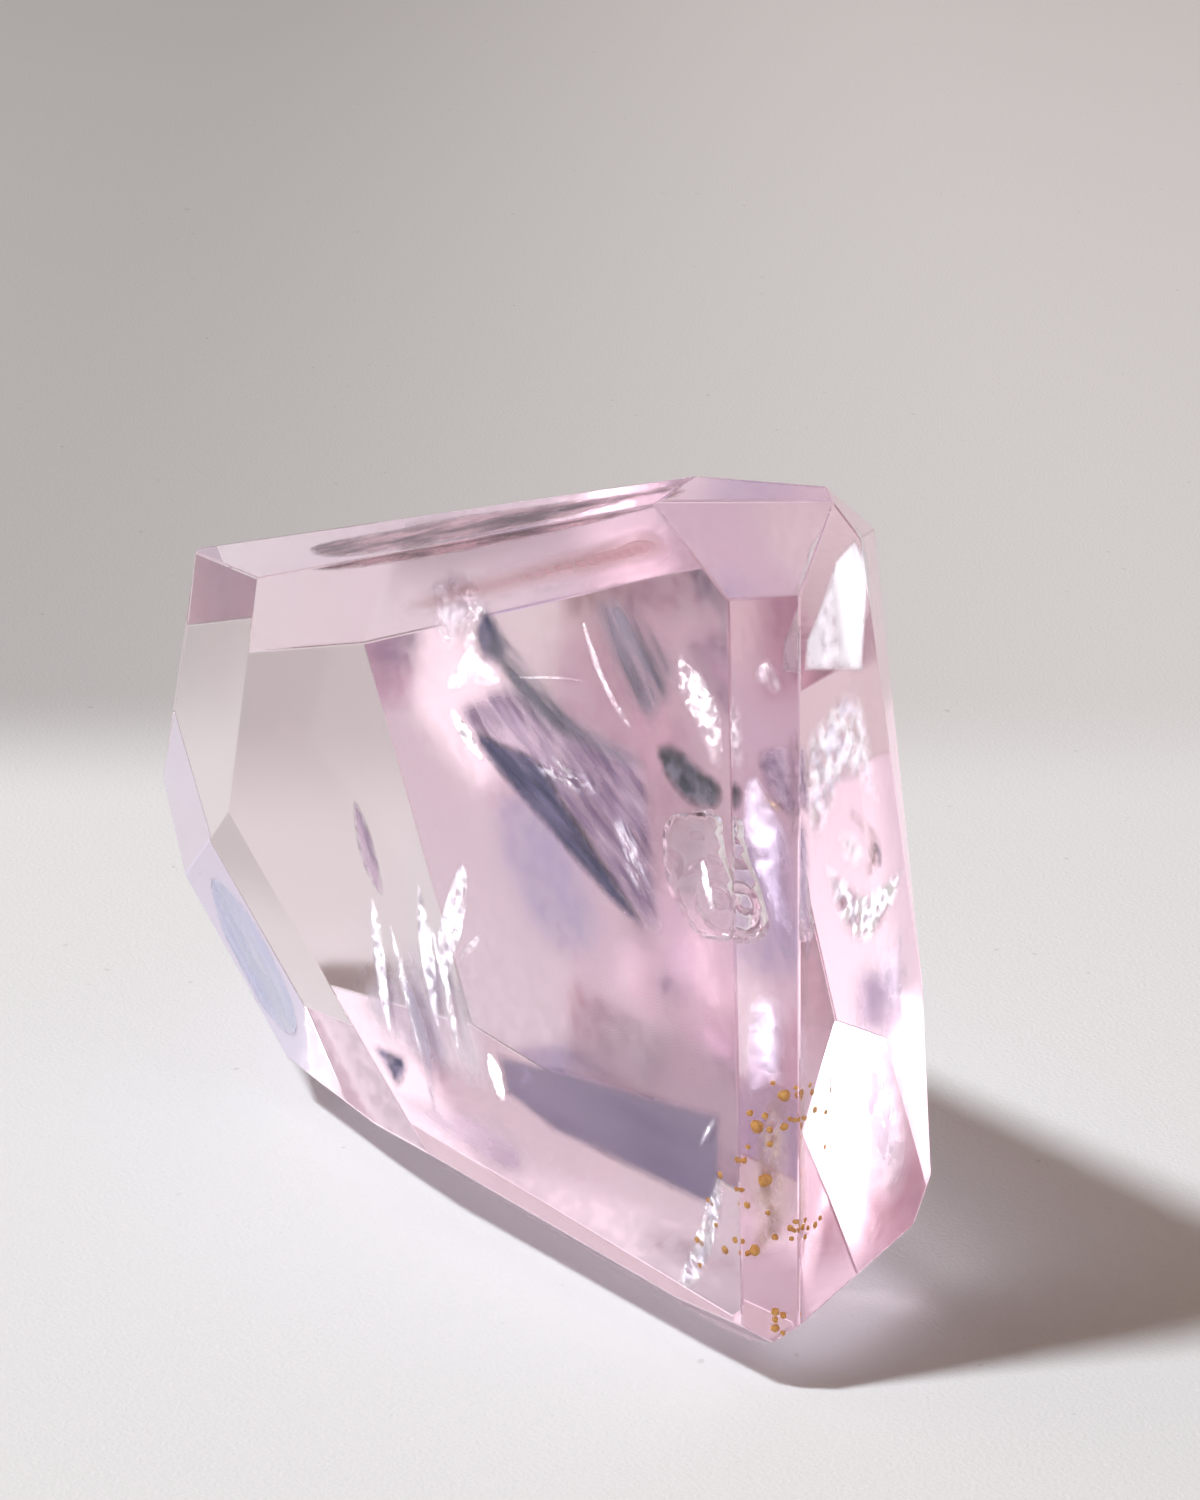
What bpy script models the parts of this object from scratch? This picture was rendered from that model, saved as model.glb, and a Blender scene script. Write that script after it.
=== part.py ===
"""A free-form faceted piece of rose quartz that stands on a narrow ground base.

The crystal is one convex solid. A rough block is cut back facet by facet, the way a
lapidary grinds one, and the ground edges are then eased a little. Units are metres, +Z
is up, +X runs along the length of the slab towards its thin polished end, and +Y runs
from the broad front facet to the back. The origin is on the surface that the stone
stands on, under the middle of its bounding box.
"""
import math

import bmesh
import bpy
from mathutils import Vector

MM = 0.001

# Driving dimensions
ROUGH_BLOCK = 200.0 * MM
EDGE_EASE = 0.18 * MM
EASE_SEGMENTS = 2
EASED_FROM_DEGREES = 4.0

# Every facet: the way it faces round the stone in degrees (0 is the front, 90 the thin
# end), how far it faces up (+) or down (-) in degrees, and its distance from the origin
# in millimetres.
FACETS = {
    "front": (0.0, 1.0, 11.8),
    "front top": (-33.5, 57.5, 41.1),
    "front top corner": (30.0, 39.5, 49.7),
    "front end": (36.0, 3.0, 29.7),
    "end": (105.0, 2.5, 33.2),
    "end back": (131.0, 7.5, 29.5),
    "end top": (136.5, 29.5, 42.7),
    "end low": (133.5, -20.0, 22.6),
    "end heel": (135.0, -33.0, 18.5),
    "back right": (170.0, 4.0, 10.9),
    "back left": (180.0, -1.0, 11.2),
    "back top": (-147.5, 60.5, 35.8),
    "back heel": (172.0, -45.0, 2.5),
    "front left": (-19.0, 5.0, 18.3),
    "front left low": (-7.5, -8.5, 10.4),
    "left": (-77.0, 16.0, 36.9),
    "left low": (-78.0, -49.5, 8.1),
    "front left heel": (-8.5, -49.0, 4.8),
    "front heel": (-1.5, -48.0, 4.8),
    "front right heel": (5.0, -48.5, 6.8),
    "end foot": (112.0, -49.5, 16.5),
}

ROSE_QUARTZ_COLOUR = (0.90, 0.72, 0.78, 1.0)
ROSE_QUARTZ_ROUGHNESS = 0.02
ROSE_QUARTZ_IOR = 1.544


def clear_scene():
    for item in list(bpy.data.objects):
        bpy.data.objects.remove(item, do_unlink=True)


def facing(round_degrees, up_degrees):
    """Unit vector that faces the given way round the stone and up."""
    turn = math.radians(round_degrees)
    lift = math.radians(up_degrees)
    level = math.cos(lift)
    return Vector((level * math.sin(turn), -level * math.cos(turn), math.sin(lift)))


def grind(bm, normal, distance):
    """Cut away everything beyond one facet plane and close the cut."""
    everything = bm.verts[:] + bm.edges[:] + bm.faces[:]
    cut = bmesh.ops.bisect_plane(
        bm,
        geom=everything,
        dist=1e-7,
        plane_co=normal * distance,
        plane_no=normal,
        clear_outer=True,
    )
    rim = [item for item in cut["geom_cut"] if isinstance(item, bmesh.types.BMEdge)]
    if rim:
        bmesh.ops.edgeloop_fill(bm, edges=rim)


def centre_on_footprint(bm):
    """Put the middle of the bounding box over the origin and the base at zero."""
    low = Vector([min(v.co[axis] for v in bm.verts) for axis in range(3)])
    high = Vector([max(v.co[axis] for v in bm.verts) for axis in range(3)])
    middle = (low + high) / 2
    bmesh.ops.translate(bm, verts=bm.verts, vec=(-middle.x, -middle.y, -low.z))


def crystal_mesh():
    bm = bmesh.new()
    bmesh.ops.create_cube(bm, size=ROUGH_BLOCK)
    grind(bm, Vector((0, 0, -1)), 0.0)
    for round_degrees, up_degrees, distance in FACETS.values():
        grind(bm, facing(round_degrees, up_degrees), distance * MM)
    bmesh.ops.recalc_face_normals(bm, faces=bm.faces)
    centre_on_footprint(bm)
    mesh = bpy.data.meshes.new("rose_quartz")
    bm.to_mesh(mesh)
    bm.free()
    return mesh


def crystal_material():
    material = bpy.data.materials.new("rose_quartz")
    material.use_nodes = True
    shader = material.node_tree.nodes["Principled BSDF"]
    shader.inputs["Base Color"].default_value = ROSE_QUARTZ_COLOUR
    shader.inputs["Roughness"].default_value = ROSE_QUARTZ_ROUGHNESS
    shader.inputs["Metallic"].default_value = 0.0
    shader.inputs["IOR"].default_value = ROSE_QUARTZ_IOR
    shader.inputs["Transmission Weight"].default_value = 1.0
    return material


def main():
    clear_scene()
    collection = bpy.data.collections.new("rose_quartz_stone")
    bpy.context.scene.collection.children.link(collection)

    crystal = bpy.data.objects.new("rose_quartz", crystal_mesh())
    crystal.data.materials.append(crystal_material())
    collection.objects.link(crystal)

    ease = crystal.modifiers.new("eased_edges", "BEVEL")
    ease.width = EDGE_EASE
    ease.segments = EASE_SEGMENTS
    ease.limit_method = "ANGLE"
    ease.angle_limit = math.radians(EASED_FROM_DEGREES)


main()
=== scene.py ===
"""Looks of the rose quartz: the clear crystal with its inner fractures, tinted veils that paint their shade,
reflections and glints, and a plain pale studio.
"""
import math

import bmesh
import bpy
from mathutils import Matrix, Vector, noise
from mathutils.bvhtree import BVHTree
from mathutils.geometry import delaunay_2d_cdt


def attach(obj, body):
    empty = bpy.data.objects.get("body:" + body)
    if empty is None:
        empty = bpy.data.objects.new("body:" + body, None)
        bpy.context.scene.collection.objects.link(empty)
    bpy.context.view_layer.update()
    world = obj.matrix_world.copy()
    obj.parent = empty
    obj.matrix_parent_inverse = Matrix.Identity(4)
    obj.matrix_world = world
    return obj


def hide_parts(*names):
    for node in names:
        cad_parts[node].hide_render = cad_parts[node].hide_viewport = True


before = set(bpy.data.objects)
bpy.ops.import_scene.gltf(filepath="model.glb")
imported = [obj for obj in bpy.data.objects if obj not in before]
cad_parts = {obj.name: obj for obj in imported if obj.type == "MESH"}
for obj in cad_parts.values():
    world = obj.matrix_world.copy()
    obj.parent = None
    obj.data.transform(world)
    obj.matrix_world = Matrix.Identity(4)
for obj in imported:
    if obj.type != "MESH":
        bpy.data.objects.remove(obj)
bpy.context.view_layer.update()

MM = 0.001

# Camera: where it stands, where it looks and its lens, as for the photo's 1200 x 1500 frame
CAMERA_PLACE = Vector((195.62, -157.31, 118.85)) * MM
CAMERA_AZIMUTH = 50.17
CAMERA_DOWN = 20.0
LENS = 100.0
SENSOR_HEIGHT = 36.0

# Rose quartz
QUARTZ_IOR = 1.544
ABSORPTION_COLOUR = (0.914, 0.30, 0.52, 1.0)
ABSORPTION_DENSITY = 6.5

# Finish of the back and underside facets, which are less polished than the front ones
POLISH_FRONT = (0.0, 0.012)
POLISH_BACK = (0.10, 0.16)
POLISH_GRAIN = 900.0
POLISH_BREAKS_FRONT = (0.4, 0.7)
POLISH_BREAKS_BACK = (0.3, 0.7)
HIDDEN_FACING = 0.3
WAVINESS = 0.0000035
WAVINESS_GRAIN = 260.0

# Apart from the nucleus, a clear air gap, these are mirror-like tinted films: painted shade, painted
# reflections and painted glints of the fractures and the room.
# Inner fractures: thin gaps and veils in the quartz, drawn as they are seen in the photo's frame.
# finish: a row of FINISHES, or gap for a clear air gap.
# seen: a place of the fracture in the photo, and its depth in mm behind the facet there.
# facing: azimuth and elevation of the fracture's own facing, as for the facets.
# outline: its corners, or with a width in pixels the middle line of a tapering crack.
# crisp: keeps the corners of the outline.
# grain: two places of the photo between which its waves run; without it, along the outline.
# mirror: azimuth and elevation of its shading normals where they aren't those of its shape, and how much
# they vary, in degrees; chosen so that a veil reflects the bright room in the photo's view.
# rim: width in mm over which a veil fades out.
# swell: height in mm, wavelength in mm and stretch along the grain of its waves.
# rings: middle in the photo, height in mm and spacing in mm of rings around it.
# step: distance in mm between the points of its mesh, where it isn't the usual one.
FRAME_WIDTH = 1200
FRAME_HEIGHT = 1500
MESH_STEP = 0.45
CRACK_STEP = 0.3
THREAD_WIDTH = 5
ROW_STEP = 0.866
CORNER_CUTS = 2
SEED_STEP = 7.3
SWELL_ROUGHNESS = 0.8
SWELL_LACUNARITY = 2.1
SWELL_OCTAVES = 4
RING_FADE = 3
GAP = 0.02
GAP_RIM = 0.6
GAP_ROUGHNESS = 0.02
RIM_LEEWAY = 0.0001
RIM_ANGLE = 1.5
MIRROR_WAVE = 0.7
FLAT = (0.01, 3.0, 4.0)
FRACTURES_AND_PAINTED_VEILS = {
    # The wing, head, blade and crescent: navy, plum, slate and ink films paint their shade and dark
    # reflections, and white films with turned normals their glints; the nucleus is a clear gap.
    "wing": {
        "finish": "plum", "seen": (560, 780, 5.0), "facing": (3, 4), "rim": 1.3,
        "outline": ((450, 705), (470, 748), (520, 800), (552, 835), (590, 880), (625, 918), (655, 942),
                    (668, 938), (664, 900), (660, 850), (655, 800), (650, 757), (618, 738), (585, 722),
                    (552, 700), (525, 680), (500, 676), (470, 690)),
        "grain": (500, 720, 640, 920), "swell": (0.22, 2.2, 5.0),
    },
    "wing_flecks": {
        "finish": "flecks", "seen": (560, 775, 4.4), "facing": (0, 1), "mirror": (10, 25, 9), "rim": 0.9,
        "outline": ((528, 764), (545, 750), (566, 757), (590, 772), (606, 796), (584, 800), (552, 788)),
        "grain": (535, 755, 595, 795), "swell": (0.05, 1.2, 2.5),
    },
    "wing_sheen": {
        "finish": "flecks", "seen": (625, 860, 4.4), "facing": (0, 1), "mirror": (10, 25, 9), "rim": 0.9,
        "outline": ((608, 812), (626, 815), (645, 850), (655, 905), (640, 900), (622, 868)),
        "grain": (612, 815, 650, 900), "swell": (0.05, 1.2, 5.0),
    },
    "wing_edge": {
        "finish": "navy", "seen": (560, 790, 4.6), "facing": (3, 4), "rim": 0.5,
        "outline": ((470, 722), (478, 752), (520, 800), (552, 836), (590, 882), (625, 918), (655, 943),
                    (640, 915), (618, 885), (596, 850), (572, 815), (556, 785), (540, 760),
                    (512, 745), (490, 738)),
        "grain": (480, 740, 640, 920), "swell": (0.25, 2.0, 6.0),
    },
    "wing_fold": {
        "finish": "slate", "seen": (560, 700, 4.8), "facing": (3, 4), "rim": 1.2,
        "outline": ((492, 606), (520, 640), (550, 680), (580, 712), (618, 738), (655, 762), (640, 778),
                    (600, 762), (560, 745), (530, 722), (505, 700), (498, 672), (478, 655), (480, 630)),
        "grain": (500, 620, 640, 760), "swell": (0.18, 2.4, 6.0),
    },
    "wing_gleam": {
        "finish": "glint", "seen": (470, 730, 4.2), "facing": (0, 1), "mirror": (10, 25, 5), "width": 13,
        "outline": ((447, 700), (458, 722), (472, 745), (488, 768)),
    },
    "head_dark": {
        "finish": "navy", "seen": (488, 635, 4.9), "facing": (3, 4), "rim": 0.8,
        "outline": ((474, 616), (484, 600), (500, 620), (514, 652), (500, 670), (482, 664), (472, 640)),
        "grain": (480, 610, 500, 660), "swell": (0.10, 2.0, 3.0),
    },
    "head_frost": {
        "finish": "haze", "seen": (470, 600, 5.0), "facing": (0, 1), "mirror": (10, 25, 12), "rim": 1.2,
        "outline": ((425, 580), (450, 560), (480, 575), (492, 598), (470, 625), (450, 660),
                    (436, 640), (430, 605)),
        "grain": (440, 570, 470, 640), "swell": (0.06, 1.5, 2.0),
    },
    "head_gleam": {
        "finish": "frost", "seen": (480, 640, 5.2), "facing": (0, 1), "mirror": (10, 25, 5),
        "outline": ((447, 692), (446, 676), (458, 664), (462, 640), (468, 615), (482, 594),
                    (490, 606), (480, 632),
                    (476, 655), (494, 658), (506, 690), (488, 688), (470, 682), (462, 690)),
        "grain": (460, 690, 480, 600), "swell": (0.04, 1.6, 2.0), "rim": 1.0,
    },
    "blade": {
        "finish": "slate", "seen": (640, 660, 5.6), "facing": (3, 4), "rim": 1.5,
        "outline": ((582, 590), (622, 584), (650, 615), (682, 655), (684, 690), (668, 715),
                    (652, 742), (636, 725),
                    (618, 690), (600, 645)),
        "grain": (600, 600, 660, 730), "swell": (0.15, 3.0, 5.0),
    },
    "blade_line": {
        "finish": "thread", "seen": (610, 660, 5.0), "facing": (0, 1), "mirror": (10, 25, 5), "width": 7,
        "outline": ((575, 590), (588, 640), (604, 685), (622, 715), (646, 752)),
    },
    "bright_patch": {
        "finish": "glint", "seen": (690, 710, 5.0), "facing": (0, 1), "mirror": (10, 25, 5),
        "outline": ((674, 655), (684, 648), (690, 668), (704, 668), (712, 690), (723, 712),
                    (724, 776), (712, 768),
                    (700, 742), (694, 722), (678, 700)),
        "grain": (680, 660, 715, 770), "swell": (0.04, 1.8, 3.0), "rim": 1.6,
    },
    "crescent": {
        "finish": "ink", "seen": (690, 775, 4.4), "facing": (3, 4), "rim": 0.6,
        "outline": ((655, 745), (665, 738), (680, 745), (700, 765), (724, 782), (724, 811), (700, 812),
                    (685, 805), (668, 785), (657, 765)),
        "grain": (660, 745, 720, 800), "swell": (0.02, 3.0, 1.0),
    },
    "crescent_rim": {
        "finish": "thread", "seen": (705, 811, 4.0), "facing": (0, 1), "mirror": (10, 25, 5), "width": 5,
        "step": 0.12,
        "outline": ((684, 811), (700, 812), (712, 810), (724, 812)),
    },
    "nucleus": {
        "finish": "gap", "seen": (705, 870, 5.0), "facing": (8, -8),
        "outline": ((662, 815), (690, 813), (723, 812), (745, 850), (765, 900), (771, 932), (752, 946),
                    (725, 941), (700, 938), (680, 915), (664, 880)),
        "grain": (700, 820, 740, 940), "swell": (0.12, 1.6, 1.0), "rings": (735, 905, 0.16, 1.5),
    },
    "nucleus_gleam": {
        "finish": "glint", "seen": (708, 880, 4.0), "facing": (0, 1), "mirror": (10, 25, 5), "width": 8,
        "outline": ((700, 845), (703, 870), (710, 900), (718, 932)),
    },
    # A pale lavender film under the near edge facet: a painted reflection of pale light.
    "band": {
        "finish": "pearl", "seen": (765, 860, 2.5), "facing": (36, 3), "mirror": (18, 24, 3),
        "outline": ((727, 820), (745, 775), (756, 768), (770, 800), (797, 838), (797, 985),
                    (780, 950), (764, 895),
                    (745, 850)),
        "grain": (740, 780, 780, 960), "swell": (0.02, 4.0, 3.0),
    },
    # A violet film low in the front facet: a painted dark band, the table's shadow as seen through the stone.
    "dark_plane": {
        "finish": "violet", "seen": (620, 1120, 3.0), "facing": (0, 2), "crisp": True,
        "outline": ((495, 1050), (560, 1066), (650, 1092), (722, 1112), (722, 1211), (700, 1205), (620, 1166),
                    (555, 1135), (505, 1095)),
        "grain": (500, 1060, 720, 1150), "swell": (0.03, 6.0, 3.0),
    },
    # Films under the end facet: white ones with turned normals are painted glows and glints, and the golden
    # ring a painted sheen.
    "white_top": {
        "finish": "glow", "seen": (845, 620, 2.6), "facing": (105, 3), "mirror": (107, 12, 2), "crisp": True,
        "outline": ((803, 672), (806, 640), (822, 600), (835, 560), (855, 538), (868, 560),
                    (866, 620), (863, 672)),
        "grain": (830, 550, 850, 670), "swell": (0.03, 2.0, 3.0), "rim": 0.4,
    },
    "white_drift": {
        "finish": "frost", "seen": (845, 740, 2.4), "facing": (105, 3), "mirror": (107, 12, 4),
        "outline": ((802, 735), (822, 715), (840, 685), (862, 690), (872, 730), (878, 780),
                    (884, 812), (868, 805),
                    (850, 775), (838, 800), (822, 845), (802, 840)),
        "grain": (840, 700, 860, 800), "swell": (0.05, 1.6, 1.5), "rim": 1.2,
    },
    "eye_ring": {
        "finish": "gold_mist", "seen": (855, 840, 2.2), "facing": (105, 3),
        "outline": ((840, 808), (855, 804), (872, 822), (884, 845), (880, 866), (868, 884),
                    (862, 872), (868, 852),
                    (862, 835), (850, 822)),
        "grain": (845, 810, 880, 870), "swell": (0.1, 1.5, 2.0),
    },
    "eye": {
        "finish": "glint", "seen": (852, 850, 2.0), "facing": (105, 3), "mirror": (107, 12, 2),
        "outline": ((840, 826), (852, 824), (864, 838), (868, 856), (862, 872), (850, 872),
                    (838, 858), (834, 840)),
        "grain": (840, 830, 860, 870), "swell": (0.05, 3.0, 1.0), "rim": 1.2,
    },
    "v_veil": {
        "finish": "glint", "seen": (865, 900, 2.0), "facing": (105, 3), "mirror": (107, 12, 7), "step": 0.3,
        "outline": ((822, 850), (838, 868), (856, 884), (868, 890), (884, 876), (908, 858),
                    (900, 892), (888, 925),
                    (870, 948), (852, 946), (836, 922), (826, 885)),
        "grain": (830, 860, 870, 940), "swell": (0.04, 0.9, 1.0), "rim": 0.9,
    },
    # The cracks: white films with turned normals paint their glints, and the plum, slate and navy ones their
    # shade.
    "crack_mauve": {
        "finish": "plum", "seen": (368, 850, 4.0), "facing": (0, 2), "width": 17, "rim": 0.8,
        "outline": ((352, 790), (362, 830), (372, 870), (386, 905)),
    },
    "crack_white": {
        "finish": "frost", "seen": (384, 960, 4.0), "facing": (0, 1), "mirror": (10, 25, 6),
        "width": 13, "rim": 0.7,
        "outline": ((370, 880), (376, 930), (383, 985), (393, 1054)),
    },
    "crack_white_two": {
        "finish": "frost", "seen": (427, 940, 4.0), "facing": (0, 1), "mirror": (10, 25, 6),
        "width": 16, "rim": 0.8,
        "outline": ((416, 868), (423, 925), (431, 980), (440, 1045)),
    },
    "crack_feather": {
        "finish": "frost", "seen": (452, 925, 4.2), "facing": (0, 1), "mirror": (10, 25, 6),
        "width": 25, "rim": 0.9,
        "outline": ((466, 848), (457, 900), (448, 940), (441, 1000)),
    },
    "crack_ray": {
        "finish": "frost", "seen": (440, 990, 4.1), "facing": (0, 1), "mirror": (10, 25, 6),
        "width": 9, "rim": 0.4,
        "outline": ((425, 905), (440, 960), (452, 1010), (462, 1075)),
    },
    "crack_ray_two": {
        "finish": "frost", "seen": (405, 990, 4.0), "facing": (0, 1), "mirror": (10, 25, 6),
        "width": 8, "rim": 0.4,
        "outline": ((386, 905), (398, 960), (414, 1020), (428, 1090)),
    },
    "crack_glow": {
        "finish": "glint", "seen": (495, 1080, 3.6), "facing": (0, 1), "mirror": (10, 25, 3),
        "width": 13, "rim": 0.8,
        "outline": ((488, 1048), (493, 1065), (499, 1085), (506, 1112)),
    },
    "crack_aside": {
        "finish": "frost", "seen": (475, 940, 4.2), "facing": (0, 1), "mirror": (10, 25, 6), "width": 14,
        "outline": ((456, 965), (470, 948), (490, 925)),
    },
    "crack_grey": {
        "finish": "slate", "seen": (362, 975, 4.0), "facing": (0, 2), "width": 9,
        "outline": ((344, 1002), (358, 980), (382, 945)),
    },
    "crack_lilac": {
        "finish": "mist", "seen": (420, 1040, 3.6), "facing": (0, 2), "width": 14,
        "outline": ((392, 950), (412, 1000), (428, 1060), (438, 1140)),
    },
    "dark_chip": {
        "finish": "navy", "seen": (400, 1070, 3.4), "facing": (0, 2),
        "outline": ((364, 1038), (386, 1045), (410, 1056), (408, 1082), (394, 1092), (386, 1070)),
        "grain": (370, 1040, 400, 1080), "swell": (0.05, 2.0, 1.0),
    },
    "hair_crack": {
        "finish": "thread", "seen": (550, 680, 3.0), "facing": (0, 1), "mirror": (10, 25, 5), "width": 4,
        "step": 0.10,
        "outline": ((498, 677), (530, 678), (560, 677), (602, 684)),
    },
    "sliver": {
        "finish": "frost", "seen": (708, 1128, 2.0), "facing": (0, 1), "mirror": (10, 25, 5), "width": 8,
        "outline": ((718, 1100), (712, 1125), (702, 1140), (699, 1152)),
    },
    # A pale film low in the window: painted light over the table's shadow seen through the stone.
    "window_haze": {
        "finish": "haze", "seen": (420, 1030, 4.6), "facing": (0, 1), "mirror": (0, 12, 2), "rim": 2.4,
        "outline": ((345, 985), (400, 930), (455, 940), (492, 1020), (508, 1110), (470, 1100), (420, 1078),
                    (365, 1050)),
        "grain": (400, 950, 440, 1090), "swell": (0.02, 5.0, 3.0),
    },
    # A pale blue film along the lower-left bevel: a painted bluish reflection.
    "left_blue": {
        "finish": "azure", "seen": (240, 930, 1.2), "facing": (-7.5, -8.5), "width": 34, "rim": 1.6,
        "outline": ((206, 864), (232, 915), (256, 960), (280, 1008), (300, 1046)),
    },
    # Films under the near edge facet: painted glints, a painted dark patch, painted golden glints, a pale
    # painted reflection and a painted golden sheen under the specks.
    "d_glints": {
        "finish": "frost", "seen": (770, 690, 2.4), "facing": (36, 3), "mirror": (18, 24, 6), "rim": 0.8,
        "outline": ((756, 664), (768, 655), (776, 668), (786, 682), (780, 700), (764, 690), (752, 680)),
        "grain": (760, 660, 776, 696), "swell": (0.03, 2.0, 1.5),
    },
    "d_shade": {
        "finish": "plum", "seen": (775, 775, 2.2), "facing": (36, 3), "rim": 0.6,
        "outline": ((752, 752), (772, 744), (796, 742), (797, 836), (782, 815), (764, 795)),
        "grain": (760, 750, 790, 820), "swell": (0.03, 2.0, 2.0),
    },
    "d_gold": {
        "finish": "gold", "seen": (772, 805, 2.0), "facing": (36, 3), "mirror": (18, 24, 9), "width": 10,
        "outline": ((758, 794), (770, 800), (782, 812), (792, 826)),
    },
    "d_light": {
        "finish": "pearl", "seen": (762, 1060, 2.2), "facing": (36, 3), "mirror": (18, 26, 3), "rim": 1.6,
        "outline": ((738, 1000), (770, 985), (797, 1010), (797, 1100), (770, 1085), (742, 1110)),
        "grain": (765, 990, 765, 1100), "swell": (0.03, 3.0, 2.0),
    },
    "speck_veil": {
        "finish": "gold_mist", "seen": (768, 1180, 2.2), "facing": (36, 3), "rim": 1.2,
        "outline": ((742, 1150), (765, 1085), (792, 1075), (797, 1120), (797, 1250), (770, 1258), (744, 1262),
                    (735, 1220)),
        "grain": (768, 1080, 768, 1250), "swell": (0.03, 3.0, 2.0),
    },
    "frost_low": {
        "finish": "frost", "seen": (705, 1220, 2.0), "facing": (0, 1), "mirror": (6, 24, 10), "rim": 0.6,
        "outline": ((722, 1160), (724, 1215), (712, 1262), (696, 1292), (672, 1288), (690, 1250),
                    (704, 1205)),
        "grain": (722, 1160, 690, 1285), "swell": (0.04, 1.5, 2.0),
    },
    # Lilac and navy films under the end facet: a painted lilac reflection and a painted dark arc.
    "e_lilac": {
        "finish": "lilac", "seen": (880, 1010, 1.8), "facing": (105, 3), "mirror": (105, 12, 2), "rim": 2.0,
        "outline": ((848, 960), (876, 952), (900, 960), (912, 1010), (905, 1050), (872, 1056), (846, 1040)),
        "grain": (880, 950, 880, 1050), "swell": (0.03, 3.0, 3.0),
    },
    "e_dark_arc": {
        "finish": "navy", "seen": (877, 852, 1.7), "facing": (105, 3), "width": 7,
        "outline": ((868, 832), (877, 846), (881, 862), (874, 880)),
    },
    # Dark and rosy films along the top facet: painted shade and painted reflections.
    "top_streaks": {
        "finish": "smoke", "seen": (560, 515, 1.4), "facing": (-33.5, 57.5), "rim": 0.4,
        "outline": ((300, 545), (402, 528), (450, 517), (520, 507), (600, 496), (650, 489),
                    (690, 486), (684, 498),
                    (640, 512), (570, 530), (500, 545), (430, 558), (320, 575)),
        "grain": (420, 530, 640, 488), "swell": (0.06, 2.0, 7.0),
    },
    # A pink film under the top edge: a painted pink reflection of the top facets.
    "blush": {
        "finish": "blush", "seen": (560, 570, 1.6), "facing": (0, 1), "rim": 1.5,
        "outline": ((385, 612), (430, 582), (520, 556), (600, 534), (650, 516), (686, 545),
                    (664, 570), (600, 584),
                    (520, 599), (440, 620)),
        "grain": (420, 600, 640, 550), "swell": (0.02, 4.0, 6.0),
    },
    # A lilac film low in the front facet: a painted lilac reflection.
    "low_lilac": {
        "finish": "lilac", "seen": (460, 1130, 3.0), "facing": (0, 1), "rim": 1.8,
        "outline": ((372, 1078), (430, 1090), (500, 1108), (536, 1150), (528, 1200), (470, 1165),
                    (415, 1130)),
        "grain": (400, 1090, 520, 1170), "swell": (0.02, 5.0, 3.0),
    },
    # A painted white glow and a painted lilac reflection under the end facet.
    "low_glow": {
        "finish": "glow", "seen": (892, 1120, 2.4), "facing": (105, 3), "mirror": (88, 41, 3), "rim": 3.5,
        "outline": ((862, 1040), (885, 1025), (910, 1050), (922, 1110), (918, 1170), (898, 1215), (868, 1220),
                    (848, 1160), (848, 1085)),
        "grain": (890, 1050, 890, 1190), "swell": (0.03, 5.0, 2.0),
    },
    "lilac_side": {
        "finish": "pearl", "seen": (885, 980, 2.8), "facing": (105, 3), "mirror": (105, 12, 2), "rim": 2.5,
        "outline": ((850, 955), (880, 950), (897, 905), (906, 882), (914, 945), (920, 1035), (905, 1035),
                    (870, 1045), (848, 1040)),
        "grain": (880, 900, 890, 1040), "swell": (0.03, 5.0, 2.0),
    },
    "rust_line": {
        "finish": "rust", "seen": (832, 1110, 1.6), "facing": (105, 3), "width": 3,
        "outline": ((827, 1030), (830, 1070), (831, 1110), (837, 1160), (846, 1206)),
    },
}

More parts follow.
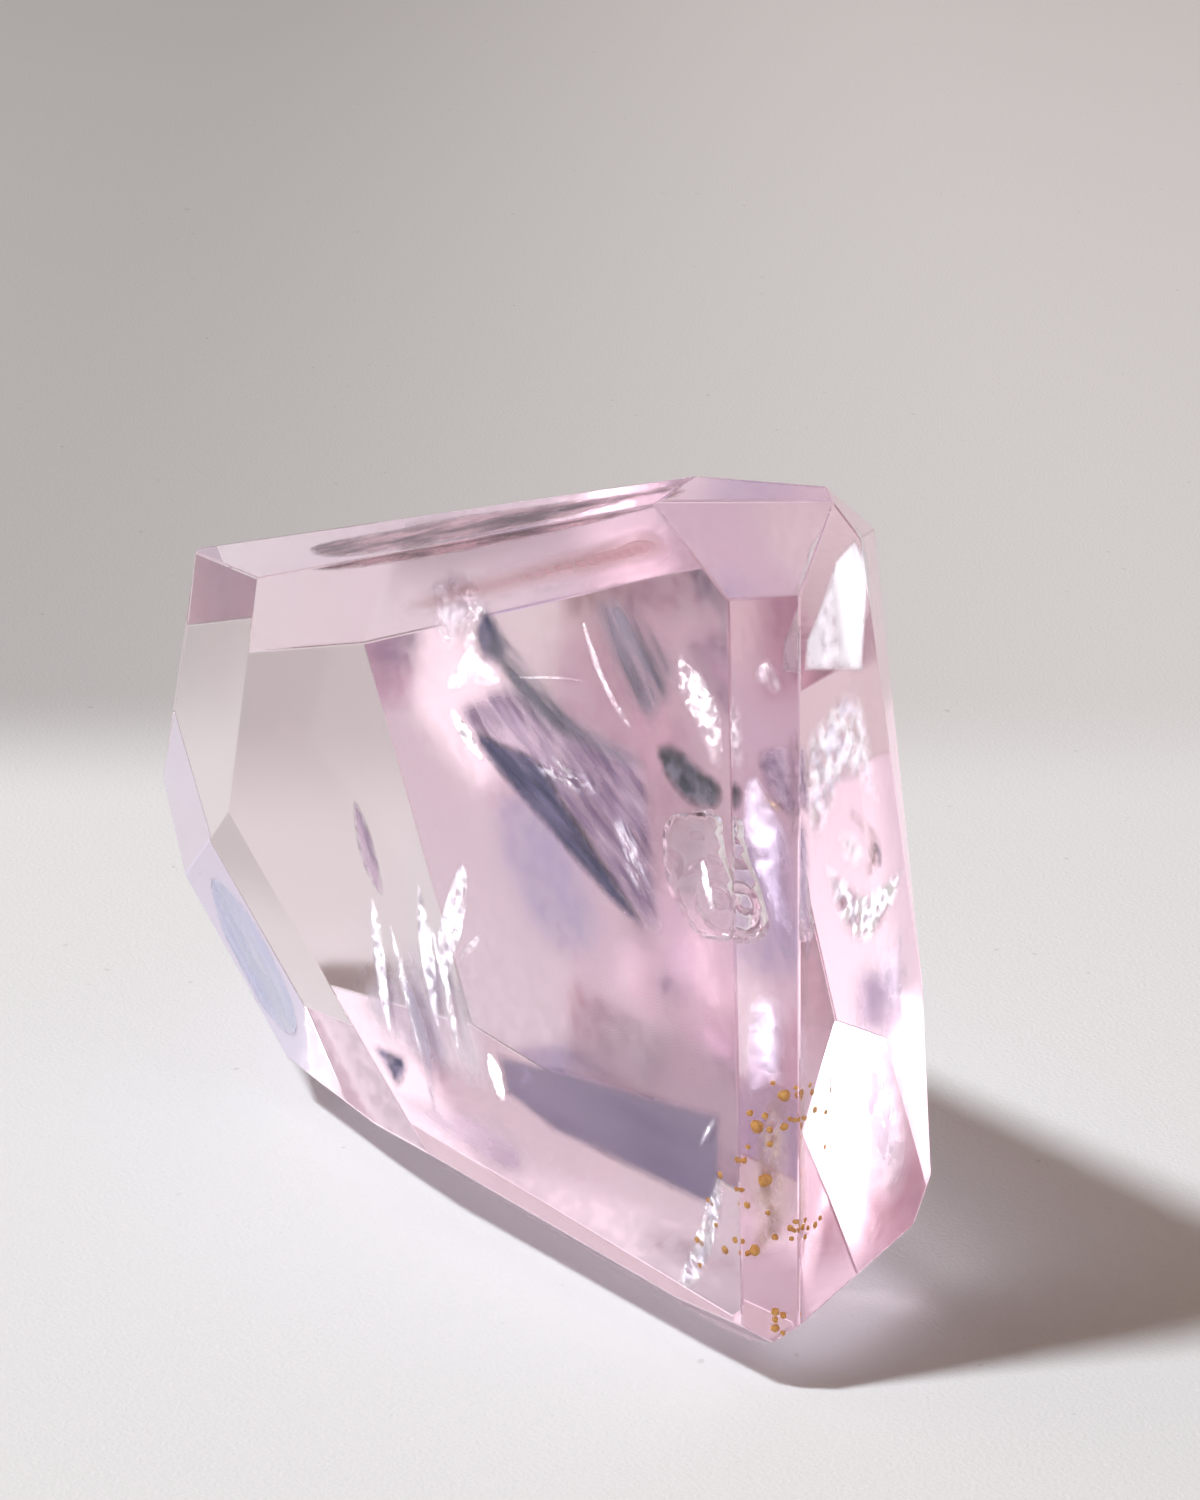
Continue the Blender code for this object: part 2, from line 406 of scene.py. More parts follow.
# Finishes of the veils: darker and lighter tint, metal-like share, roughness, least and most cover, and grain
# in 1/mm.
# All but mist and rust are mirror-like films whose tints are painted light: navy, plum, slate, smoke, violet
# and ink paint shade and dark reflections; frost, flecks, glow, glint and thread paint white glints; haze,
# lilac, azure, gold, gold_mist, pearl and the pink row paint pale and coloured reflections and sheen. rust is
# an iron stain.
FINISHES = {
    "navy": ((0.07, 0.07, 0.17), (0.30, 0.27, 0.46), 1.0, 0.22, 0.55, 0.95, 0.7),
    "plum": ((0.32, 0.21, 0.38), (0.88, 0.70, 0.88), 1.0, 0.30, 0.35, 0.85, 0.8),
    "slate": ((0.17, 0.18, 0.25), (0.50, 0.46, 0.58), 1.0, 0.30, 0.20, 0.75, 0.5),
    "smoke": ((0.16, 0.08, 0.10), (0.80, 0.56, 0.60), 1.0, 0.30, 0.55, 1.0, 1.1),
    "violet": ((0.26, 0.20, 0.33), (0.38, 0.30, 0.44), 1.0, 0.18, 0.80, 0.95, 0.15),
    "frost": ((0.94, 0.92, 1.00), (1.0, 1.0, 1.0), 1.0, 0.20, 0.10, 1.0, 0.9),
    "flecks": ((0.90, 0.86, 1.00), (1.0, 0.98, 1.0), 1.0, 0.25, -0.35, 0.75, 1.6),
    "ink": ((0.05, 0.055, 0.08), (0.26, 0.24, 0.32), 1.0, 0.22, 0.70, 1.0, 0.7),
    "glow": ((1.0, 0.97, 1.0), (1.0, 1.0, 1.0), 1.0, 0.25, 0.85, 1.0, 0.3),
    "glint": ((1.0, 0.98, 1.0), (1.0, 1.0, 1.0), 1.0, 0.14, 0.55, 1.0, 0.7),
    "thread": ((0.95, 0.85, 0.88), (1.0, 1.0, 1.0), 1.0, 0.25, 0.30, 0.85, 1.0),
    "haze": ((0.84, 0.79, 0.88), (1.0, 0.96, 1.0), 1.0, 0.30, 0.30, 0.75, 0.35),
    "lilac": ((0.72, 0.56, 0.72), (0.90, 0.76, 0.90), 1.0, 0.30, 0.35, 0.65, 0.2),
    "azure": ((0.62, 0.70, 0.98), (0.88, 0.92, 1.0), 1.0, 0.25, 0.30, 0.75, 0.3),
    "gold": ((0.90, 0.50, 0.20), (1.0, 0.86, 0.60), 1.0, 0.20, 0.20, 1.0, 1.2),
    "gold_mist": ((0.55, 0.36, 0.30), (0.95, 0.76, 0.66), 1.0, 0.30, 0.15, 0.60, 0.8),
    "pearl": ((0.72, 0.62, 0.80), (0.95, 0.86, 1.0), 1.0, 0.25, 0.35, 0.80, 0.5),
    "blush": ((0.60, 0.27, 0.30), (0.80, 0.44, 0.46), 1.0, 0.30, 0.50, 0.80, 0.25),
    "mist": ((0.80, 0.74, 0.92), (0.92, 0.88, 1.0), 0.0, 0.60, 0.15, 0.55, 0.4),
    "rust": ((0.42, 0.12, 0.03), (0.70, 0.30, 0.08), 0.0, 0.60, 0.5, 0.9, 1.0),
}
VEIL_RIM = 0.7
VEIL_BREAKS = (0.28, 0.70)
TINT_BREAKS = (0.35, 0.65)
ROUGHNESS_BREAKS = (0.3, 0.7)
ROUGHNESS_SWING = 0.3
FINE_GRAIN = 2.3
THREAD_RIM = 0.15

# Iron specks: place in the photo and size in pixels, each just under its facet
SPECK_DEPTH = 1.5
SPECK_SPREAD = 1.8
SPECKS = (
    (773, 1083, 3), (784, 1096, 7), (810, 1085, 3), (812, 1092, 4), (815, 1110, 4), (826, 1112, 3),
    (750, 1113, 4), (765, 1116, 4), (795, 1120, 3), (803, 1118, 3), (757, 1127, 8), (770, 1130, 4),
    (784, 1127, 5), (748, 1147, 3), (770, 1144, 4), (825, 1147, 3), (765, 1180, 8), (747, 1205, 4),
    (768, 1213, 3), (815, 1225, 4), (820, 1218, 3), (808, 1228, 3), (790, 1228, 4), (795, 1222, 3),
    (775, 1237, 4), (805, 1237, 3), (755, 1250, 7), (748, 1253, 4), (725, 1250, 5), (775, 1312, 5),
    (783, 1315, 4), (775, 1320, 4), (775, 1328, 5), (783, 1333, 3), (737, 1160, 4), (720, 1175, 4),
    (708, 1200, 3), (697, 1240, 4), (700, 1265, 3), (735, 1240, 4), (716, 1225, 3), (742, 1190, 3),
)
SPECK_COLOURS = ((0.95, 0.52, 0.10, 1.0), (0.75, 0.30, 0.04, 1.0))
SPECK_LUMPS = 0.35
SPECK_GRAIN = 2500.0
SPECK_ROUGHNESS = 0.55

# Studio
FLOOR_SIZE = 6.0
FLOOR_DROP = 0.05 * MM
TABLE_ROUGHNESS = 0.9
TABLE_GRAIN = 3200.0
TABLE_BUMP = 0.00006
DUST_GRAIN = 650.0
DUST = (0.755, 0.80)
DUST_SHADE = 0.86
TABLE_COLOUR = (0.80, 0.81, 0.83, 1.0)
BACKDROP_LEFT = (0.49, 0.48, 0.485, 1.0)
BACKDROP_RIGHT = (0.72, 0.71, 0.72, 1.0)
BACKDROP_TURN = (-60.0 * MM, 60.0 * MM)
TABLE_END = 62.0 * MM
BACKDROP_START = 92.0 * MM
AMBIENT = (0.34, 0.31, 0.36)
HORIZON = (0.50, 0.46, 0.47)
HORIZON_TOP = 0.45
# Share of the room's light that falls on the table: most of the table's light is the key's
ROOM_ON_TABLE = (0.37, 0.28, 0.19)
# Soft glows of the room: azimuth and height in the photo's view, full and fading radius, colour, strength
GLOWS = (
    (-103, 60, 6, 24, (1.0, 0.97, 0.98), 1.6),
    (-60, 49, 5, 14, (1.0, 0.98, 1.0), 1.3),
    (-55, 12, 6, 30, (1.0, 0.96, 1.0), 0.7),
    (75, 55, 10, 45, (0.95, 0.90, 1.0), 0.30),
    (80, 7, 9, 17, (1.0, 1.0, 1.03), 0.95),
    (36, 37, 6, 22, (1.0, 0.90, 0.90), 0.15),
    (47, 18, 2, 9, (0.55, 0.70, 1.0), 0.35),
)
SKY_MAP = 256
KEY_AZIMUTH = -103.0
KEY_UP = 62.0
KEY_DISTANCE = 1.5
KEY_DIAMETER = 0.16
KEY_POWER = 17.4
KEY_COLOUR = (0.97, 1.02, 1.05)


def view_vectors():
    """Level unit vectors of the photo's view: to its right, and away from the camera."""
    turn = math.radians(CAMERA_AZIMUTH)
    right = Vector((math.cos(turn), math.sin(turn), 0))
    away = Vector((-math.sin(turn), math.cos(turn), 0))
    return right, away


def from_view(azimuth, up):
    """Unit vector towards a place given by its azimuth in the photo's view (0 is away) and its height."""
    right, away = view_vectors()
    turn = math.radians(azimuth)
    lift = math.radians(up)
    level = right * math.sin(turn) + away * math.cos(turn)
    return level * math.cos(lift) + Vector((0, 0, math.sin(lift)))


def add_camera():
    data = bpy.data.cameras.new("camera")
    data.lens = LENS
    data.sensor_fit = "VERTICAL"
    data.sensor_height = SENSOR_HEIGHT
    data.clip_start = 0.01
    camera = bpy.data.objects.new("camera", data)
    camera.location = CAMERA_PLACE
    camera.rotation_euler = (math.radians(90 - CAMERA_DOWN), 0, math.radians(CAMERA_AZIMUTH))
    bpy.context.scene.collection.objects.link(camera)
    bpy.context.scene.camera = camera


def mapped(tree, value, low, high, smallest, largest):
    """Node that brings a value from one range into another, smoothly."""
    node = tree.nodes.new("ShaderNodeMapRange")
    node.interpolation_type = "SMOOTHSTEP"
    node.inputs["From Min"].default_value = low
    node.inputs["From Max"].default_value = high
    node.inputs["To Min"].default_value = smallest
    node.inputs["To Max"].default_value = largest
    tree.links.new(value, node.inputs["Value"])
    return node.outputs["Result"]


def noise_of(tree, place, scale, detail=2.0):
    node = tree.nodes.new("ShaderNodeTexNoise")
    node.inputs["Scale"].default_value = scale
    node.inputs["Detail"].default_value = detail
    tree.links.new(place, node.inputs["Vector"])
    return node.outputs["Fac"]


def attribute_of(tree, name, output):
    node = tree.nodes.new("ShaderNodeAttribute")
    node.attribute_name = name
    return node.outputs[output]


def blended(tree, kind, share, first, second):
    """Node that mixes two values or colours; each is a socket or a plain value."""
    node = tree.nodes.new("ShaderNodeMix")
    node.data_type = kind
    letters = [socket for socket in node.inputs if socket.enabled]
    for socket, value in zip(letters, (share, first, second)):
        if hasattr(value, "links"):
            tree.links.new(value, socket)
        else:
            socket.default_value = value
    return [socket for socket in node.outputs if socket.enabled][0]


def quartz_material():
    material = bpy.data.materials.new("rose_quartz_clear")
    material.use_nodes = True
    tree = material.node_tree
    shader = tree.nodes["Principled BSDF"]
    shader.inputs["Base Color"].default_value = (1, 1, 1, 1)
    shader.inputs["IOR"].default_value = QUARTZ_IOR
    shader.inputs["Transmission Weight"].default_value = 1.0
    place = tree.nodes.new("ShaderNodeTexCoord").outputs["Object"]
    grain = noise_of(tree, place, POLISH_GRAIN, 1.0)
    front = mapped(tree, grain, *POLISH_BREAKS_FRONT, *POLISH_FRONT)
    back = mapped(tree, grain, *POLISH_BREAKS_BACK, *POLISH_BACK)
    rough = blended(tree, "FLOAT", attribute_of(tree, "ground", "Fac"), front, back)
    tree.links.new(rough, shader.inputs["Roughness"])
    bump = tree.nodes.new("ShaderNodeBump")
    bump.inputs["Distance"].default_value = WAVINESS
    tree.links.new(noise_of(tree, place, WAVINESS_GRAIN, 0.0), bump.inputs["Height"])
    tree.links.new(bump.outputs["Normal"], shader.inputs["Normal"])
    absorb = tree.nodes.new("ShaderNodeVolumeAbsorption")
    absorb.inputs["Color"].default_value = ABSORPTION_COLOUR
    absorb.inputs["Density"].default_value = ABSORPTION_DENSITY
    output = tree.nodes["Material Output"]
    tree.links.new(absorb.outputs["Volume"], output.inputs["Volume"])
    return material


def add_crystal():
    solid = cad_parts["rose_quartz"]
    mesh = solid.data.copy()
    mesh.materials.clear()
    mesh.materials.append(quartz_material())
    ground = mesh.attributes.new("ground", "FLOAT", "FACE")
    for polygon in mesh.polygons:
        hidden = polygon.normal.y > HIDDEN_FACING or polygon.normal.z < -HIDDEN_FACING
        ground.data[polygon.index].value = 1.0 if hidden else 0.0
    crystal = bpy.data.objects.new("rose_quartz_crystal", mesh)
    bpy.context.scene.collection.objects.link(crystal)
    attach(crystal, "root")
    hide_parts("rose_quartz")
    return crystal


def seen_ray(x, y):
    """Direction of the photo's view through a place of its frame."""
    right, away = view_vectors()
    down = math.radians(CAMERA_DOWN)
    forward = away * math.cos(down) - Vector((0, 0, math.sin(down)))
    below = right.cross(forward) * -1
    step = SENSOR_HEIGHT / FRAME_HEIGHT / LENS
    ray = forward + right * (x - FRAME_WIDTH / 2) * step + below * (y - FRAME_HEIGHT / 2) * step
    return ray.normalized()


def facet_tree():
    """The stone's facets as a tree that rays can be cast at."""
    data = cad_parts["rose_quartz"].data
    places = [corner.co for corner in data.vertices]
    facets = [list(polygon.vertices) for polygon in data.polygons]
    return BVHTree.FromPolygons(places, facets)


def look_inside(solid, x, y):
    """Where the view enters the stone at a place of the photo, and its refracted direction inside."""
    ray = seen_ray(x, y)
    place, normal, _, _ = solid.ray_cast(CAMERA_PLACE, ray)
    across = -normal.dot(ray)
    squeeze = 1 / QUARTZ_IOR
    inside = ray * squeeze + normal * (squeeze * across - math.sqrt(1 - squeeze ** 2 * (1 - across ** 2)))
    return place, inside.normalized()


def facing_vector(azimuth, up):
    turn = math.radians(azimuth)
    lift = math.radians(up)
    return Vector((math.sin(turn) * math.cos(lift), -math.cos(turn) * math.cos(lift), math.sin(lift)))


def round_outline(points, rounds=CORNER_CUTS):
    """Cuts the corners of a closed outline to make it flow."""
    for _ in range(rounds):
        smoother = []
        for index, point in enumerate(points):
            after = points[(index + 1) % len(points)]
            smoother.append(point.lerp(after, 0.25))
            smoother.append(point.lerp(after, 0.75))
        points = smoother
    return points


def rim_distance(point, outline):
    """Distance of a flat point to the nearest side of an outline."""
    nearest = 1e9
    for index, start in enumerate(outline):
        side = outline[(index + 1) % len(outline)] - start
        along = max(0.0, min(1.0, (point - start).dot(side) / side.length_squared))
        nearest = min(nearest, (point - start - side * along).length)
    return nearest


def flat_mesh(outline, step):
    """Triangles that fill a closed flat outline, with points about a step apart."""
    low = Vector((min(p.x for p in outline), min(p.y for p in outline)))
    high = Vector((max(p.x for p in outline), max(p.y for p in outline)))
    points = list(outline)
    rows = int((high.y - low.y) / (step * ROW_STEP)) + 1
    columns = int((high.x - low.x) / step) + 1
    for row in range(rows):
        for column in range(columns):
            point = low + Vector(((column + row % 2 * 0.5) * step, row * step * ROW_STEP))
            if is_within(point, outline) and rim_distance(point, outline) > step * 0.5:
                points.append(point)
    filled = delaunay_2d_cdt(points, [], [list(range(len(outline)))], 1, 1e-9)
    return filled[0], filled[2]


def is_within(point, outline):
    inside = False
    for index, start in enumerate(outline):
        end = outline[(index + 1) % len(outline)]
        if (start.y > point.y) != (end.y > point.y):
            crossing = start.x + (point.y - start.y) / (end.y - start.y) * (end.x - start.x)
            if point.x < crossing:
                inside = not inside
    return inside


def swell_at(point, swell, grain, seed):
    """Height in mm of the fracture's waves at a flat point."""
    height, wave, stretch = swell
    along = point.dot(grain) / stretch
    aside = point.dot(Vector((-grain.y, grain.x)))
    spot = Vector((along / wave, aside / wave, seed))
    return height * noise.fractal(
        spot, SWELL_ROUGHNESS, SWELL_LACUNARITY, SWELL_OCTAVES, noise_basis="PERLIN_ORIGINAL")


def turned_facing(point, mirror, seed):
    """The direction of a fracture's shading normal at a flat point; it varies from grain to grain."""
    azimuth, up, spread = mirror
    aside = noise.noise(Vector((point.x, point.y, seed)) / MIRROR_WAVE)
    above = noise.noise(Vector((point.y, point.x, -seed)) / MIRROR_WAVE)
    return facing_vector(azimuth + 2 * spread * aside, up + 2 * spread * above)


def ring_at(distance, height, spacing):
    """Height in mm of the rings at a distance from their middle; they die away outwards."""
    return height * math.cos(distance / spacing * math.tau) * math.exp(-distance / (spacing * RING_FADE))


class Sheet:
    """A flat plane in the stone on which places of the photo are marked, in mm."""

    def __init__(self, plan, solid):
        self.solid = solid
        self.facing = facing_vector(*plan["facing"])
        x, y, depth = plan["seen"]
        place, inside = look_inside(solid, x, y)
        self.middle = place + inside * depth * MM
        self.side = self.facing.cross(Vector((0, 0, 1))).normalized()
        self.rise = self.facing.cross(self.side)

    def mark(self, x, y):
        place, inside = look_inside(self.solid, x, y)
        reach = (self.middle - place).dot(self.facing) / inside.dot(self.facing)
        at = (place + inside * reach - self.middle) / MM
        return Vector((at.dot(self.side), at.dot(self.rise)))

    def spot(self, point, lift):
        return self.middle + (self.side * point.x + self.rise * point.y + self.facing * lift) * MM


def crack_outline(line, width):
    """Outline of a crack that tapers towards both ends of its middle line."""
    left = []
    right = []
    for index in range(1, len(line) - 1):
        along = (Vector(line[index + 1]) - Vector(line[index - 1])).normalized()
        aside = Vector((-along.y, along.x)) * width / 2
        left.append(tuple(Vector(line[index]) + aside))
        right.append(tuple(Vector(line[index]) - aside))
    return [line[0], *left, line[-1], *reversed(right)]


def fracture_shape(plan, sheet):
    """A fracture's flat outline in mm, the width over which it fades out, and its mesh step."""
    outline = plan["outline"]
    rim_width = plan.get("rim", VEIL_RIM)
    step = plan.get("step", MESH_STEP)
    if "width" in plan:
        outline = crack_outline(outline, plan["width"])
        rim_width = THREAD_RIM if plan["width"] < THREAD_WIDTH else VEIL_RIM / 2
        step = min(step, CRACK_STEP)
    flat = [sheet.mark(x, y) for x, y in outline]
    if "crisp" not in plan:
        flat = round_outline(flat)
    return flat, rim_width, step


def fracture_lifts(plan, sheet, points, grain, swell, seed):
    """Heights in mm of a fracture's waves and rings at its flat points."""
    lifts = [swell_at(point, swell, grain, seed) for point in points]
    if "rings" in plan:
        x, y, height, spacing = plan["rings"]
        eye = sheet.mark(x, y)
        lifts = [lift + ring_at((point - eye).length, height, spacing) for lift, point in zip(lifts, points)]
    return lifts


def wall_normals(walls, points, mirror, seed):
    """Shading normals of both walls, in the order in which their corners were made."""
    upper = walls[0]
    turns = []
    for side, wall in zip((-1, 1), walls):
        fresh = [index for index, corner in enumerate(wall) if side == -1 or corner is not upper[index]]
        turns += [turned_facing(points[index], mirror, seed) * side for index in fresh]
    return turns


def add_fracture(name, plan, solid, material):
    """A thin closed sheet with two wavy walls, which share its rim and face into it."""
    sheet = Sheet(plan, solid)
    flat, rim_width, step = fracture_shape(plan, sheet)
    points, triangles = flat_mesh(flat, step)
    rims = [rim_distance(point, flat) for point in points]
    triangles = [corners for corners in triangles if max(rims[index] for index in corners) > RIM_LEEWAY]
    x0, y0, x1, y1 = plan.get("grain", (*plan["outline"][0], *plan["outline"][-1]))
    grain = (sheet.mark(x1, y1) - sheet.mark(x0, y0)).normalized()
    swell = plan.get("swell", FLAT)
    seed = len(name) * SEED_STEP
    lifts = fracture_lifts(plan, sheet, points, grain, swell, seed)
    mesh = bmesh.new()
    rim_layer = mesh.verts.layers.float.new("rim_share")
    place_layer = mesh.verts.layers.float_vector.new("grain_place")
    walls = []
    for side in (1, -1):
        wall = []
        for index, point in enumerate(points):
            if side == -1 and rims[index] < RIM_LEEWAY:
                wall.append(walls[0][index])
                continue
            half = GAP / 2 * min(1, rims[index] / GAP_RIM)
            corner = mesh.verts.new(sheet.spot(point, lifts[index] + side * half))
            corner[rim_layer] = min(1, rims[index] / rim_width) ** 2
            aside = point.dot(Vector((-grain.y, grain.x)))
            corner[place_layer] = Vector((point.dot(grain) / swell[2], aside, seed))
            wall.append(corner)
        walls.append(wall)
    upper, lower = walls
    turns = wall_normals(walls, points, plan["mirror"], seed) if "mirror" in plan else []
    for triangle in triangles:
        mesh.faces.new([upper[index] for index in reversed(triangle)])
        mesh.faces.new([lower[index] for index in triangle])
    for face in mesh.faces:
        face.smooth = True
    for edge in mesh.edges:
        edge.smooth = edge.calc_face_angle(0) < RIM_ANGLE
    data = bpy.data.meshes.new(name)
    mesh.to_mesh(data)
    mesh.free()
    if turns:
        data.normals_split_custom_set_from_vertices(turns)
    data.materials.append(material)
    piece = bpy.data.objects.new(name, data)
    bpy.context.scene.collection.objects.link(piece)
    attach(piece, "root")
    return piece


def gap_material():
    material = bpy.data.materials.new("fracture_gap")
    material.use_nodes = True
    shader = material.node_tree.nodes["Principled BSDF"]
    shader.inputs["Base Color"].default_value = (1, 1, 1, 1)
    shader.inputs["Roughness"].default_value = GAP_ROUGHNESS
    shader.inputs["IOR"].default_value = QUARTZ_IOR
    shader.inputs["Transmission Weight"].default_value = 1.0
    return material


def veil_material(name, dark, light, metal, roughness, least, most, grain):
    """A veil inside the stone: a thin tinted film, broken up along its grain and fading at its rim; apart
    from mist and rust, its tints paint shade, reflections and glints.
    """
    material = bpy.data.materials.new("veil_" + name)
    material.use_nodes = True
    tree = material.node_tree
    shader = tree.nodes["Principled BSDF"]
    shader.inputs["Metallic"].default_value = metal
    place = attribute_of(tree, "grain_place", "Vector")
    coarse = noise_of(tree, place, grain)
    tint = blended(tree, "RGBA", mapped(tree, coarse, *TINT_BREAKS, 0.0, 1.0), (*dark, 1.0), (*light, 1.0))
    tree.links.new(tint, shader.inputs["Base Color"])
    fine = noise_of(tree, place, grain * FINE_GRAIN, 3.0)
    smooth = roughness * (1 - ROUGHNESS_SWING)
    coarser = roughness * (1 + ROUGHNESS_SWING)
    tree.links.new(mapped(tree, fine, *ROUGHNESS_BREAKS, smooth, coarser), shader.inputs["Roughness"])
    cover = mapped(tree, fine, *VEIL_BREAKS, least, most)
    share = tree.nodes.new("ShaderNodeMath")
    share.operation = "MULTIPLY"
    tree.links.new(cover, share.inputs[0])
    tree.links.new(attribute_of(tree, "rim_share", "Fac"), share.inputs[1])
    tree.links.new(share.outputs["Value"], shader.inputs["Alpha"])
    return material


def add_fractures_and_painted_veils():
    solid = facet_tree()
    materials = {"gap": gap_material()}
    for name, finish in FINISHES.items():
        materials[name] = veil_material(name, *finish)
    for name, plan in FRACTURES_AND_PAINTED_VEILS.items():
        add_fracture(name, plan, solid, materials[plan["finish"]])


def speck_material():
    material = bpy.data.materials.new("iron_specks")
    material.use_nodes = True
    tree = material.node_tree
    shader = tree.nodes["Principled BSDF"]
    shader.inputs["Roughness"].default_value = SPECK_ROUGHNESS
    place = tree.nodes.new("ShaderNodeTexCoord").outputs["Object"]
    share = mapped(tree, noise_of(tree, place, SPECK_GRAIN), *TINT_BREAKS, 0.0, 1.0)
    tree.links.new(blended(tree, "RGBA", share, *SPECK_COLOURS), shader.inputs["Base Color"])
    return material


def add_specks():
    """Small lumps of iron rust in the low corner, as one mesh."""
    solid = facet_tree()
    mesh = bmesh.new()
    for x, y, across in SPECKS:
        place, inside = look_inside(solid, x, y)
        middle = place + inside * SPECK_DEPTH * MM
        pixel = (place - CAMERA_PLACE).length * SENSOR_HEIGHT / FRAME_HEIGHT / LENS
        radius = across / 2 * pixel * SPECK_SPREAD
        lump = bmesh.ops.create_icosphere(mesh, subdivisions=2, radius=radius)
        for corner in lump["verts"]:
            bulge = 1 + SPECK_LUMPS * noise.noise(corner.co / radius + Vector((x, y, 0)))
            corner.co = middle + corner.co * bulge
    data = bpy.data.meshes.new("iron_specks")
    mesh.to_mesh(data)
    mesh.free()
    data.shade_smooth()
    data.materials.append(speck_material())
    specks = bpy.data.objects.new("iron_specks", data)
    bpy.context.scene.collection.objects.link(specks)
    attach(specks, "root")


def floor_material():
    material = bpy.data.materials.new("studio_floor")
    material.use_nodes = True
    tree = material.node_tree
    shader = tree.nodes["Principled BSDF"]
    shader.inputs["Roughness"].default_value = TABLE_ROUGHNESS
    shader.inputs["Specular IOR Level"].default_value = 0.0
    place = tree.nodes.new("ShaderNodeTexCoord")
    bump = tree.nodes.new("ShaderNodeBump")
    bump.inputs["Distance"].default_value = TABLE_BUMP
    tree.links.new(noise_of(tree, place.outputs["Object"], TABLE_GRAIN, 3.0), bump.inputs["Height"])
    tree.links.new(bump.outputs["Normal"], shader.inputs["Normal"])
    along = tree.nodes.new("ShaderNodeVectorMath")
    along.operation = "DOT_PRODUCT"
    along.inputs[1].default_value = view_vectors()[1]
    fade = tree.nodes.new("ShaderNodeMapRange")
    fade.interpolation_type = "SMOOTHSTEP"
    fade.inputs["From Min"].default_value = TABLE_END
    fade.inputs["From Max"].default_value = BACKDROP_START
    aside = tree.nodes.new("ShaderNodeVectorMath")
    aside.operation = "DOT_PRODUCT"
    aside.inputs[1].default_value = view_vectors()[0]
    turn = tree.nodes.new("ShaderNodeMapRange")
    turn.interpolation_type = "SMOOTHSTEP"
    turn.inputs["From Min"].default_value = BACKDROP_TURN[0]
    turn.inputs["From Max"].default_value = BACKDROP_TURN[1]
    backdrop = tree.nodes.new("ShaderNodeMix")
    backdrop.data_type = "RGBA"
    backdrop.inputs["A"].default_value = BACKDROP_LEFT
    backdrop.inputs["B"].default_value = BACKDROP_RIGHT
    mix = tree.nodes.new("ShaderNodeMix")
    mix.data_type = "RGBA"
    mix.inputs["A"].default_value = TABLE_COLOUR
    tree.links.new(place.outputs["Object"], along.inputs[0])
    tree.links.new(along.outputs["Value"], fade.inputs["Value"])
    tree.links.new(place.outputs["Object"], aside.inputs[0])
    tree.links.new(aside.outputs["Value"], turn.inputs["Value"])
    tree.links.new(turn.outputs["Result"], backdrop.inputs["Factor"])
    tree.links.new(backdrop.outputs["Result"], mix.inputs["B"])
    tree.links.new(fade.outputs["Result"], mix.inputs["Factor"])
    dust = mapped(tree, noise_of(tree, place.outputs["Object"], DUST_GRAIN, 1.0), *DUST, 1.0, DUST_SHADE)
    dusty = tree.nodes.new("ShaderNodeVectorMath")
    dusty.operation = "SCALE"
    tree.links.new(mix.outputs["Result"], dusty.inputs[0])
    tree.links.new(dust, dusty.inputs["Scale"])
    tree.links.new(dusty.outputs["Vector"], shader.inputs["Base Color"])
    return material


def add_floor():
    bm = bmesh.new()
    bmesh.ops.create_grid(bm, x_segments=1, y_segments=1, size=FLOOR_SIZE / 2)
    mesh = bpy.data.meshes.new("studio_floor")
    bm.to_mesh(mesh)
    bm.free()
    mesh.materials.append(floor_material())
    floor = bpy.data.objects.new("studio_floor", mesh)
    floor.location.z = -FLOOR_DROP
    bpy.context.scene.collection.objects.link(floor)


def add_glow(tree, light, azimuth, up, full, fading, colour, strength):
    """Adds one soft round glow to the sky's light and gives the new total."""
    direction = tree.nodes.new("ShaderNodeTexCoord")
    towards = tree.nodes.new("ShaderNodeVectorMath")
    towards.operation = "DOT_PRODUCT"
    towards.inputs[1].default_value = from_view(azimuth, up)
    fade = tree.nodes.new("ShaderNodeMapRange")
    fade.interpolation_type = "SMOOTHSTEP"
    fade.inputs["From Min"].default_value = math.cos(math.radians(full + fading))
    fade.inputs["From Max"].default_value = math.cos(math.radians(full))
    fade.inputs["To Max"].default_value = strength
    glow = tree.nodes.new("ShaderNodeVectorMath")
    glow.operation = "MULTIPLY_ADD"
    glow.inputs[1].default_value = colour
    tree.links.new(direction.outputs["Generated"], towards.inputs[0])
    tree.links.new(towards.outputs["Value"], fade.inputs["Value"])
    tree.links.new(fade.outputs["Result"], glow.inputs[0])
    tree.links.new(light, glow.inputs[2])
    return glow.outputs["Vector"]


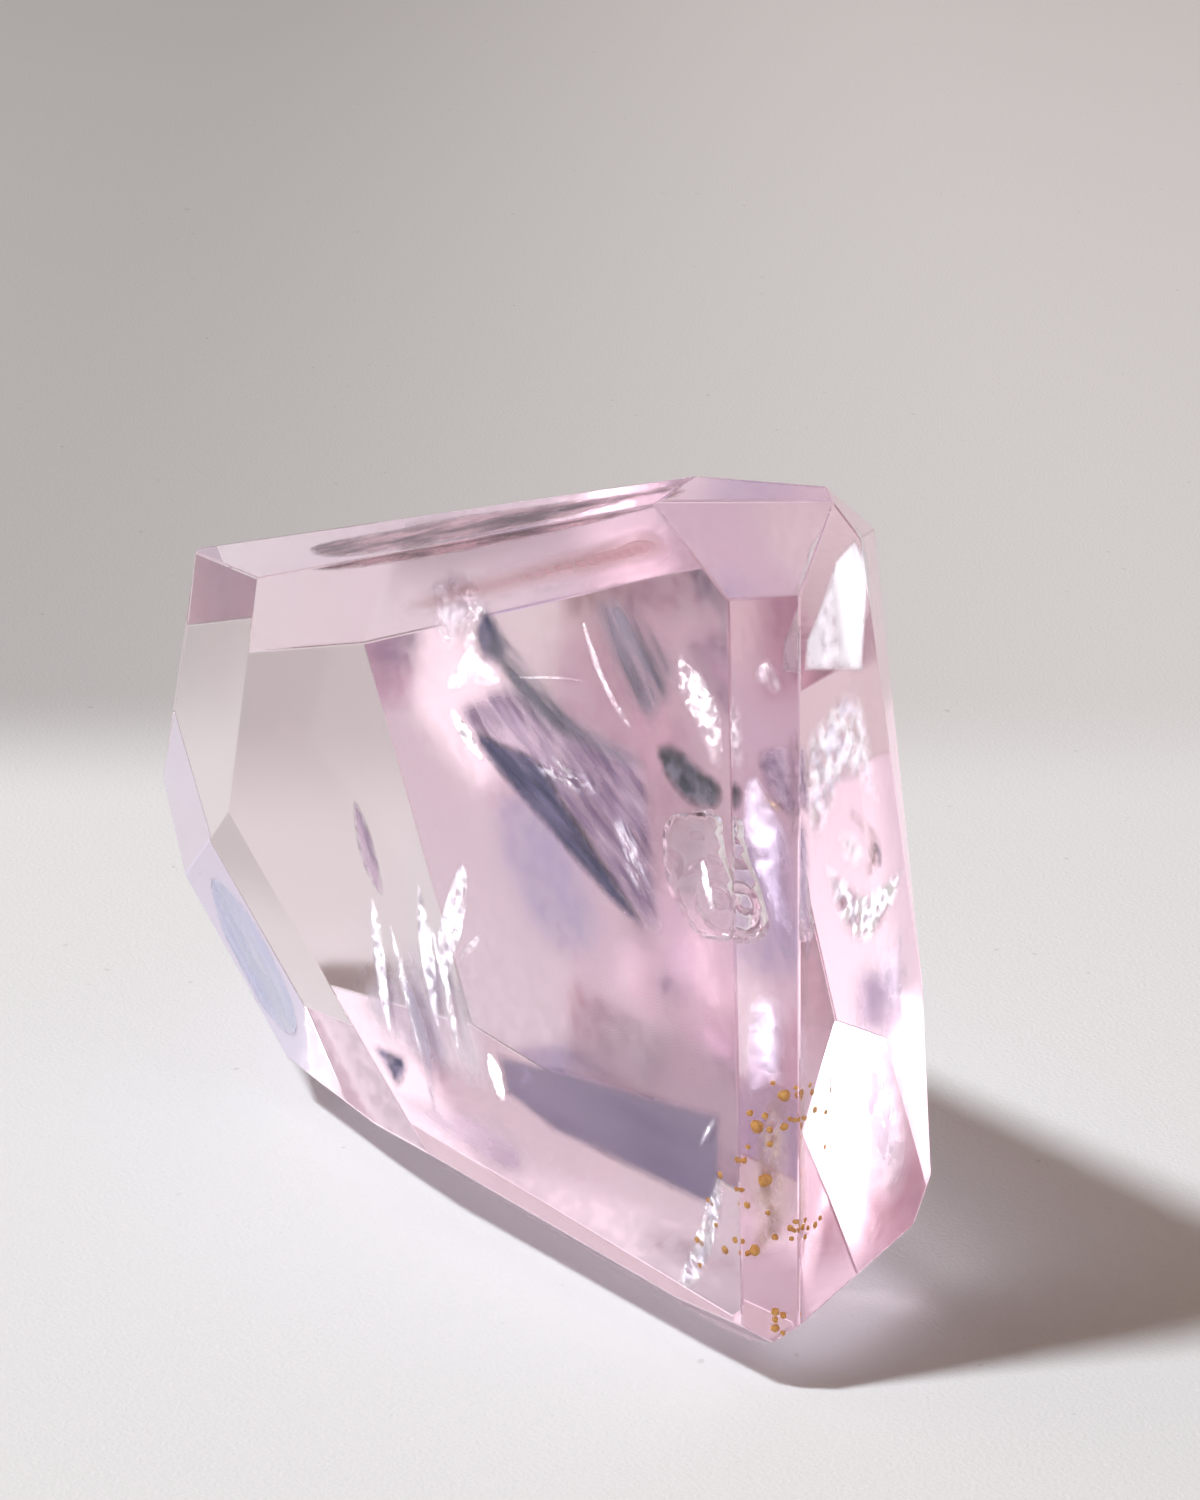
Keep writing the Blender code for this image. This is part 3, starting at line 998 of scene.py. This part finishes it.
def add_sky():
    world = bpy.data.worlds.new("studio_air")
    world.use_nodes = True
    tree = world.node_tree
    direction = tree.nodes.new("ShaderNodeTexCoord")
    height = tree.nodes.new("ShaderNodeSeparateXYZ")
    low = tree.nodes.new("ShaderNodeMapRange")
    low.interpolation_type = "SMOOTHSTEP"
    low.inputs["From Min"].default_value = HORIZON_TOP
    low.inputs["From Max"].default_value = 0.0
    base = tree.nodes.new("ShaderNodeVectorMath")
    base.operation = "MULTIPLY_ADD"
    base.inputs[1].default_value = HORIZON
    base.inputs[2].default_value = AMBIENT
    tree.links.new(direction.outputs["Generated"], height.inputs[0])
    tree.links.new(height.outputs["Z"], low.inputs["Value"])
    tree.links.new(low.outputs["Result"], base.inputs[0])
    light = base.outputs["Vector"]
    for glow in GLOWS:
        light = add_glow(tree, light, *glow)
    rays = tree.nodes.new("ShaderNodeLightPath")
    dimming = tree.nodes.new("ShaderNodeVectorMath")
    dimming.operation = "MULTIPLY_ADD"
    dimming.inputs[1].default_value = [share - 1 for share in ROOM_ON_TABLE]
    dimming.inputs[2].default_value = (1, 1, 1)
    dimmed = tree.nodes.new("ShaderNodeVectorMath")
    dimmed.operation = "MULTIPLY"
    tree.links.new(rays.outputs["Is Diffuse Ray"], dimming.inputs[0])
    tree.links.new(light, dimmed.inputs[0])
    tree.links.new(dimming.outputs["Vector"], dimmed.inputs[1])
    tree.links.new(dimmed.outputs["Vector"], tree.nodes["Background"].inputs["Color"])
    world.cycles.sampling_method = "MANUAL"
    world.cycles.sample_map_resolution = SKY_MAP
    bpy.context.scene.world = world


def add_key():
    data = bpy.data.lights.new("key", "AREA")
    data.shape = "DISK"
    data.size = KEY_DIAMETER
    data.energy = KEY_POWER
    data.color = KEY_COLOUR
    key = bpy.data.objects.new("key", data)
    towards = from_view(KEY_AZIMUTH, KEY_UP)
    key.location = towards * KEY_DISTANCE
    key.rotation_euler = towards.to_track_quat("Z", "Y").to_euler()
    bpy.context.scene.collection.objects.link(key)


def set_light_paths():
    scene = bpy.context.scene
    scene.view_settings.view_transform = "Standard"
    cycles = scene.cycles
    cycles.max_bounces = 12
    cycles.transparent_max_bounces = 24
    cycles.transmission_bounces = 12
    cycles.glossy_bounces = 10
    cycles.diffuse_bounces = 3
    cycles.volume_bounces = 0
    cycles.sample_clamp_indirect = 50.0
    cycles.blur_glossy = 0.5
    cycles.use_denoising = True


add_camera()
add_sky()
add_key()
add_floor()
add_crystal()
add_fractures_and_painted_veils()
add_specks()
set_light_paths()
